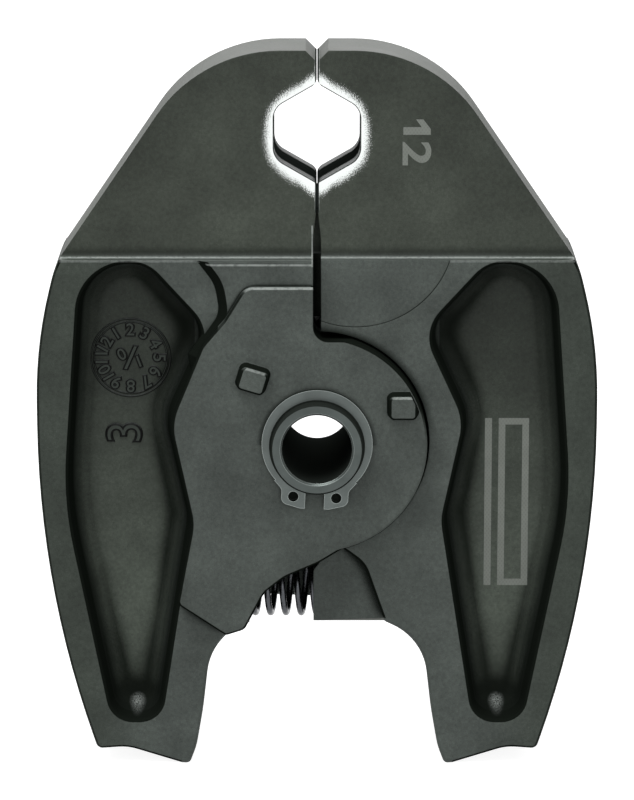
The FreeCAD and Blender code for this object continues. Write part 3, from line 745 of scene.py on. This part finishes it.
def turned_steel(name, colour, roughness, ring_bump):
    """Turned steel: rings of tool marks round the Y axis, painted shade on side walls and bore, painted
    highlights on edges.
    """
    material, tree, output = new_material(name)
    coordinates = add(tree, "ShaderNodeTexCoord")
    place = coordinates.outputs["Object"]
    x, _, z = add(tree, "ShaderNodeSeparateXYZ", {0: place}).outputs
    facing = add(tree, "ShaderNodeSeparateXYZ", {0: coordinates.outputs["Normal"]})
    from_axis = add(tree, "ShaderNodeCombineXYZ", {0: x, 2: z}).outputs[0]
    radius = add(tree, "ShaderNodeVectorMath", {0: from_axis}, operation="LENGTH").outputs["Value"]
    rings = add(tree, "ShaderNodeTexNoise", {"W": radius, "Scale": 1 / TOOL_MARK, "Detail": 1.0},
                noise_dimensions="1D").outputs[0]
    patches = add(tree, "ShaderNodeTexNoise", {"Vector": place, "Scale": 1 / STAIN, "Detail": 4.0}).outputs[0]
    rounded = add(tree, "ShaderNodeBevel", {"Radius": EDGE_LIGHT}, samples=8).outputs[0]
    true = add(tree, "ShaderNodeNewGeometry").outputs["True Normal"]
    bend = add(tree, "ShaderNodeVectorMath", {0: rounded, 1: true}, operation="DOT_PRODUCT").outputs["Value"]
    flat = add(tree, "ShaderNodeMath", {0: facing.outputs[1]}, operation="ABSOLUTE").outputs[0]
    mask = masks_of(tree, {"radius": radius, "patches": patches, "flat": flat, "bend": bend}, TURNED_ZONES,
                    TURNED_FADES)
    shade = add(tree, "ShaderNodeVectorMath", {0: linear(colour)[:3], "Scale": mask["tone"]},
                operation="SCALE").outputs[0]
    # Painted highlight on edges, then painted shade on side walls, bore and seat.
    shade = add(tree, "ShaderNodeMix", {0: mask["edge"], 6: shade, 7: linear(EDGE_HIGHLIGHT_STEEL)},
                data_type="RGBA").outputs[2]
    side = largest(tree, mask["side"], mask["seat"])
    shade = add(tree, "ShaderNodeMix", {0: side, 6: shade, 7: linear(PAINTED_SHADE_BLACK)},
                data_type="RGBA").outputs[2]
    bump = add(tree, "ShaderNodeBump", {"Height": rings, "Distance": MARK_DEPTH,
                                        "Strength": ring_bump}).outputs[0]
    dull = add(tree, "ShaderNodeMapRange", {"Value": patches, "To Min": roughness + DULL_SPREAD[0],
                                            "To Max": roughness + DULL_SPREAD[1]}).outputs[0]
    shader = add(tree, "ShaderNodeBsdfPrincipled", {"Base Color": shade, "Metallic": 0.9,
                                                    "Roughness": largest(tree, dull, side), "Normal": bump})
    matt = add(tree, "ShaderNodeBsdfDiffuse", {"Color": linear(PAINTED_SHADE_BLACK)})
    finish = add(tree, "ShaderNodeMixShader", {0: side, 1: shader.outputs[0], 2: matt.outputs[0]})
    tree.links.new(finish.outputs[0], output.inputs["Surface"])
    return material


pin_steel = turned_steel("blackened_ground_steel", "#4c5250", 0.36, 0.35)
ring_steel = turned_steel("oiled_spring_steel_strip", "#5c6260", 0.4, 0.1)
dress(("pivot_pin",), pin_steel)
dress(("front_retaining_ring", "rear_retaining_ring"), ring_steel)
print("pin", pin_steel.name, "rings", ring_steel.name)

# %% [markdown]
# ## The closing spring
# The solid model has the spring with an eight-sided wire, which is enough to weigh and to collide. The real
# one is wound from round hard-drawn wire, with a closed turn at each end. Here it is one tube: a circle is
# carried along the coil as a grid of points, one direction along the wire and one round it, and both ends are
# closed.

# %% The closing spring
SPRING_RADIUS = 4.25 * MM
WIRE_RADIUS = 0.55 * MM
SPRING_Z = -27.5 * MM
SPRING_PITCH = 2.55 * MM
END_PITCH = 1.16 * MM
FIRST_X = -14.65 * MM
LAST_X = 3.85 * MM
PHASE = 0.194
CAP_SHARE = 0.02


def mesh_piece(name, points, faces, material, body, smooth=True):
    """A mesh object from arrays of points and faces, which rides on a body."""
    mesh = bpy.data.meshes.new(name)
    mesh.from_pydata(points, [], faces)
    mesh.materials.append(material)
    mesh.polygons.foreach_set("use_smooth", np.full(len(mesh.polygons), smooth))
    mesh.update()
    piece = bpy.data.objects.new(name, mesh)
    bpy.context.scene.collection.objects.link(piece)
    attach(piece, body)
    return piece


def grid_faces(rows, columns):
    """Quads of a grid of points that is closed round its second direction."""
    i, j = np.meshgrid(np.arange(rows - 1), np.arange(columns), indexing="ij")
    k = (j + 1) % columns
    return np.stack([i * columns + j, (i + 1) * columns + j, (i + 1) * columns + k, i * columns + k],
                    axis=-1).reshape(-1, 4)


def coil(turns, per_turn, around):
    """Points of the wire: centre = coil circle + rise along X, plus the wire's circle between the coil's
    outward direction and the one across it; the first and last circles shrink to the centre as end caps."""
    turn = np.linspace(0, turns, int(turns * per_turn))
    turn = np.concatenate([turn[:1], turn, turn[-1:]])
    closed = np.minimum(turn, 1) + np.maximum(turn - turns + 1, 0)
    x = FIRST_X + closed * END_PITCH + (turn - closed) * SPRING_PITCH
    angle = 2 * np.pi * (turn + PHASE)
    outward = np.stack([0 * angle, -np.sin(angle), np.cos(angle)], axis=-1)
    centre = np.stack([x, 0 * x, 0 * x + SPRING_Z], axis=-1) + SPRING_RADIUS * outward
    slope = np.where((turn < 1) | (turn > turns - 1), END_PITCH, SPRING_PITCH) / (2 * np.pi * SPRING_RADIUS)
    along = np.stack([slope, -np.cos(angle), -np.sin(angle)], axis=-1)
    along /= np.linalg.norm(along, axis=-1, keepdims=True)
    across = np.cross(along, outward)
    size = np.full(len(turn), WIRE_RADIUS)
    size[[0, -1]] = WIRE_RADIUS * CAP_SHARE
    turned = 2 * np.pi * np.arange(around) / around
    ring = (np.cos(turned)[None, :, None] * outward[:, None, :]
            + np.sin(turned)[None, :, None] * across[:, None, :])
    return centre[:, None, :] + size[:, None, None] * ring


SPRING_TURNS = 2 + (LAST_X - FIRST_X - 2 * END_PITCH) / SPRING_PITCH
wire = coil(SPRING_TURNS, 40, 16)
print("spring turns", round(SPRING_TURNS, 2), "points", wire.shape[:2])

# %% [markdown]
# ### Hard-drawn spring wire
# Hard-drawn wire is dark, smooth and oily, with faint die lines, so it shows small sharp highlights.

# %% Spring wire finish
DIE_LINE = 0.5 * MM
wire_steel, tree, output = new_material("oiled_hard_drawn_wire")
place = add(tree, "ShaderNodeTexCoord").outputs["Object"]
streaks = add(tree, "ShaderNodeTexNoise", {"Vector": place, "Scale": 1 / DIE_LINE, "Detail": 2.0})
dull = add(tree, "ShaderNodeMapRange", {"Value": streaks.outputs[0], "To Min": 0.2, "To Max": 0.36})
tint = add(tree, "ShaderNodeMix", {0: streaks.outputs[0], 6: linear("#3d3e41"), 7: linear("#595b5e")},
           data_type="RGBA")
shader = add(tree, "ShaderNodeBsdfPrincipled", {"Base Color": tint.outputs[2], "Metallic": 1.0,
                                                "Roughness": dull.outputs[0]})
tree.links.new(shader.outputs[0], output.inputs["Surface"])
spring = mesh_piece("spring_wire", wire.reshape(-1, 3), grid_faces(*wire.shape[:2]).tolist(), wire_steel,
                    "left_arm")
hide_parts("closing_spring")
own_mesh(spring)
print("spring", [round(c * 1000, 2) for c in spring.dimensions])

# %% [markdown]
# ## The date dial on the left pocket's floor
# The forging die carries a small dial with the numbers 1 to 12 and a slash between two digits, so the forger
# can see when the piece was made. It stands up from the floor by about a quarter of a millimetre. Text
# objects give the digits, with a rounded bevel, and they are turned into mesh before they are put in place.

# %% Words as meshes
CAPITAL_SHARE = 0.7


def text_mesh(text, height, rise, weight, bevel):
    """Points and faces of a word in its own plane, its middle at zero and its capitals of this height."""
    curve = bpy.data.curves.new("digit", "FONT")
    curve.body = text
    curve.size = height / CAPITAL_SHARE
    curve.offset = weight
    curve.extrude = rise
    curve.bevel_depth = bevel
    curve.bevel_resolution = 1
    curve.resolution_u = 6
    carrier = bpy.data.objects.new("digit", curve)
    mesh = bpy.data.meshes.new_from_object(carrier)
    points = np.empty(len(mesh.vertices) * 3)
    mesh.vertices.foreach_get("co", points)
    points = points.reshape(-1, 3)
    points[:, :2] -= (points[:, :2].max(0) + points[:, :2].min(0)) / 2
    faces = [tuple(p.vertices) for p in mesh.polygons]
    bpy.data.objects.remove(carrier)
    bpy.data.curves.remove(curve)
    bpy.data.meshes.remove(mesh)
    return points, faces


def on_face(shape, x, z, angle, y):
    """Points and faces put on a front face at x, z and depth y, their up turned anticlockwise by an angle."""
    points, faces = shape
    c, s = math.cos(angle), math.sin(angle)
    return np.stack([x + c * points[:, 0] - s * points[:, 1], y - points[:, 2],
                     z + s * points[:, 0] + c * points[:, 1]], axis=-1), faces


def joined(parts):
    """One list of points and faces from several."""
    points, faces, start = [], [], 0
    for part_points, part_faces in parts:
        points.append(part_points)
        faces += [tuple(start + i for i in face) for face in part_faces]
        start += len(part_points)
    return np.concatenate(points), faces


print("capitals are", CAPITAL_SHARE, "of a word's size")

# %% [markdown]
# ### Forged relief
# The raised numbers are part of the forging. Their flat tops keep the floor's tone, edges that look up get a
# painted highlight, and all other edges get painted black shade.

# %% Forged relief
TOP_FACING = -0.96
HIGHLIGHT_PATCH_SIZE = 0.5 * MM
relief, tree, output = new_material("forged_relief")
coordinates = add(tree, "ShaderNodeTexCoord")
facing = add(tree, "ShaderNodeSeparateXYZ", {0: coordinates.outputs["Normal"]})
highlight_patches = add(tree, "ShaderNodeTexNoise", {"Vector": coordinates.outputs["Object"], "Scale": 1 / HIGHLIGHT_PATCH_SIZE,
                                        "Detail": 2.0}).outputs[0]
top = add(tree, "ShaderNodeMath", {0: facing.outputs[1], 1: TOP_FACING}, operation="LESS_THAN").outputs[0]
up = add(tree, "ShaderNodeMapRange", {"Value": facing.outputs[2], "From Min": 0.3, "From Max": 0.7,
                                      "To Max": 0.35}).outputs[0]
# Painted highlight on edges that look up; painted black shade on all other sides of the digits.
tint = add(tree, "ShaderNodeMix", {0: product(tree, up, highlight_patches), 6: linear("#060706"), 7: linear("#9aa19d")},
           data_type="RGBA").outputs[2]
tint = add(tree, "ShaderNodeMix", {0: top, 6: tint, 7: linear("#3f4540")}, data_type="RGBA").outputs[2]
shader = add(tree, "ShaderNodeBsdfPrincipled", {"Base Color": tint, "IOR": COAT_IOR, "Roughness": 0.6,
                                                "Specular IOR Level": COAT_GLOSS})
tree.links.new(shader.outputs[0], output.inputs["Surface"])
print("relief", relief.name)

# %% Raised digits
FLOOR_Y = -4.2 * MM
DIAL_X = -30.55 * MM
DIAL_Z = 12.7 * MM
DIAL_RADIUS = 6.5 * MM
DIGIT_RADIUS = 4.75 * MM
DIGIT_HEIGHT = 2.0 * MM
DIGIT_FORM = (0.04 * MM, 0.02 * MM, 0.25 * MM)
# Text, place from the dial's middle and height in mm, and turn in degrees, of what stands inside the numbers
DIAL_MIDDLE = (("0", -1.45, 0.6, 25, 1.9), ("/", 0.0, 0.0, -8, 3.9), ("1", 1.35, -0.6, 200, 1.9))
THREE_HEIGHT = 5.7 * MM
THREE_FORM = (0.05 * MM, -0.14 * MM, 0.4 * MM)
THREE_X = -31.75 * MM
THREE_Z = 0.1 * MM
digits = []
# The numbers stand a twelfth of a turn apart, with the 2 at the top.
for number in range(1, 13):
    clockwise = math.radians(30 * (number - 2))
    digits.append(on_face(text_mesh(str(number), DIGIT_HEIGHT, *DIGIT_FORM),
                          DIAL_X + DIGIT_RADIUS * math.sin(clockwise),
                          DIAL_Z + DIGIT_RADIUS * math.cos(clockwise), -clockwise, FLOOR_Y))
for text, x, z, angle, height in DIAL_MIDDLE:
    digits.append(on_face(text_mesh(text, height * MM, *DIGIT_FORM), DIAL_X + x * MM, DIAL_Z + z * MM,
                          math.radians(angle), FLOOR_Y))
digits.append(on_face(text_mesh("3", THREE_HEIGHT, *THREE_FORM), THREE_X, THREE_Z, math.pi / 2, FLOOR_Y))
points, faces = joined(digits)
dial_digits = mesh_piece("dial_digits", points, faces, relief, "left_arm", smooth=False)
print(dial_digits.name, len(points), "points")

# %% [markdown]
# ### The dial's double rim
# Two low rounded ridges run round the dial. The grid's one direction goes round the dial, the other goes over
# a ridge, whose height is a smooth bump on the distance from the middle.

# %% The dial's double rim
RIM_WIDTH = 0.4 * MM
RIM_HEIGHT = 0.2 * MM
RIM_GAP = 0.5 * MM
RIM_SINK = 0.02 * MM
INNER_RIM = 0.8


def ridge(radius, width, height, steps=96, over=9):
    """A ridge round a circle: radius plus an offset from -1 to 1 times half the width, raised by
    height times the cosine of a quarter turn of that offset."""
    turned = 2 * np.pi * np.arange(steps) / steps
    offset = np.linspace(-1, 1, over)
    r = radius + offset * width / 2
    y = FLOOR_Y + RIM_SINK - height * np.cos(offset * np.pi / 2)
    points = np.stack([DIAL_X + r[:, None] * np.sin(turned), y[:, None] + 0 * turned,
                       DIAL_Z + r[:, None] * np.cos(turned)], axis=-1)
    return points.reshape(-1, 3), grid_faces(over, steps)[:, ::-1].tolist()


points, faces = joined([ridge(DIAL_RADIUS, RIM_WIDTH, RIM_HEIGHT),
                        ridge(DIAL_RADIUS - RIM_GAP, RIM_WIDTH, RIM_HEIGHT * INNER_RIM)])
dial_rim = mesh_piece("dial_rim", points, faces, relief, "left_arm")
print(dial_rim.name, len(points), "points")

# %% [markdown]
# ## Laser marks
# The size, a plain 12, is lasered on the head beside the contour, and a plain bar and an empty field for the
# owner's mark are lasered in the right pocket. A laser burns the dark coat off in crossed lines, which leaves
# a light matt grey with a fine diamond pattern. Real burnt lines are about 0.05 mm apart, and they are drawn
# 0.45 mm apart so that they show. The marks are thin sheets just proud of the face.

# %% Laser-marked steel
HATCH = 0.45 * MM
# A Wave node at a scale of 1 has its bands this far apart.
HATCH_WAVES = 0.31
HATCH_TURNS = (35, -35)
BURN_PATCH = 2.5 * MM
laser, tree, output = new_material("laser_marked_steel")
place = add(tree, "ShaderNodeTexCoord").outputs["Object"]
lines = []
for angle in HATCH_TURNS:
    turned = add(tree, "ShaderNodeMapping", {"Vector": place, "Rotation": (0, math.radians(angle), 0)})
    wave = add(tree, "ShaderNodeTexWave", {"Vector": turned.outputs[0], "Scale": HATCH_WAVES / HATCH,
                                           "Distortion": 0.0}, bands_direction="X")
    lines.append(wave.outputs["Fac"])
worn = add(tree, "ShaderNodeTexNoise", {"Vector": place, "Scale": 1 / BURN_PATCH, "Detail": 3.0})
amount = add(tree, "ShaderNodeMath", {0: product(tree, *lines), 1: 0.6, 2: worn.outputs[0]},
             operation="MULTIPLY_ADD")
tint = add(tree, "ShaderNodeMix", {0: amount.outputs[0], 6: linear("#868b84"), 7: linear("#737871")},
           data_type="RGBA")
shader = add(tree, "ShaderNodeBsdfPrincipled", {"Base Color": tint.outputs[2], "Roughness": 0.6,
                                                "IOR": COAT_IOR, "Metallic": 0.0})
tree.links.new(shader.outputs[0], output.inputs["Surface"])
print("hatch", HATCH)

# %% [markdown]
# ### The marks as thin sheets
# Each mark is an outline in its own plane, lifted by a hundredth of a millimetre. The 1 is drawn by seven
# points, because the built-in font's 1 has another form. The 2 is the font's, made wider. The field is four
# bars.

# %% The marks
HEAD_FRONT = -7.5 * MM
MARK_RISE = 0.012 * MM
CORNER_CUT = 0.08
SIZE_X = 16.1 * MM
ONE_Z = 51.3 * MM
TWO_Z = 47.05 * MM
TWO_HEIGHT = 4.4 * MM
TWO_WIDTH = 3.85 * MM
TWO_WEIGHT = 0.14 * MM
# Corners of the 1, and x and z limits of the bar and of the field's four sides, in mm
ONE = ((1.2, -2.2), (1.2, 2.2), (0.25, 2.2), (-1.3, 1.0), (-1.3, -0.15), (-0.05, 0.75), (-0.05, -2.2))
BARS = ((27.65, 28.8, -26.0, 2.5), (29.9, 34.9, 1.4, 2.5), (29.9, 34.9, -26.0, -24.9),
        (29.9, 31.0, -24.9, 1.4), (33.8, 34.9, -24.9, 1.4))


def sheet(outline):
    """Points and faces of a thin sheet: the outline, its filled copy lifted by the mark's rise, and walls."""
    count = len(outline)
    points = np.concatenate([np.column_stack([np.array(outline) * MM, np.full(count, rise)])
                             for rise in (0.0, MARK_RISE)])
    walls = [(i, (i + 1) % count, count + (i + 1) % count, count + i) for i in range(count)]
    return points, [tuple(range(count, 2 * count))] + walls


def bar(x0, x1, z0, z1):
    """A box's sheet with its corners cut by a share of the shorter side, on the pocket's floor."""
    cut = min(x1 - x0, z1 - z0) * CORNER_CUT
    outline = [(x0 + cut, z0), (x1 - cut, z0), (x1, z0 + cut), (x1, z1 - cut), (x1 - cut, z1), (x0 + cut, z1),
               (x0, z1 - cut), (x0, z0 + cut)]
    return on_face(sheet(outline), 0.0, 0.0, 0.0, FLOOR_Y)


two = text_mesh("2", TWO_HEIGHT, MARK_RISE, TWO_WEIGHT, 0.0)
two[0][:, 0] *= TWO_WIDTH / np.ptp(two[0][:, 0])
points, faces = joined([on_face(sheet(ONE), SIZE_X, ONE_Z, -math.pi / 2, HEAD_FRONT),
                        on_face(two, SIZE_X, TWO_Z, -math.pi / 2, HEAD_FRONT)])
size_mark = mesh_piece("size_mark", points, faces, laser, "right_arm", smooth=False)
points, faces = joined([bar(*limits) for limits in BARS])
owner_field = mesh_piece("owner_field", points, faces, laser, "right_arm", smooth=False)
print("marks", size_mark.name, owner_field.name)
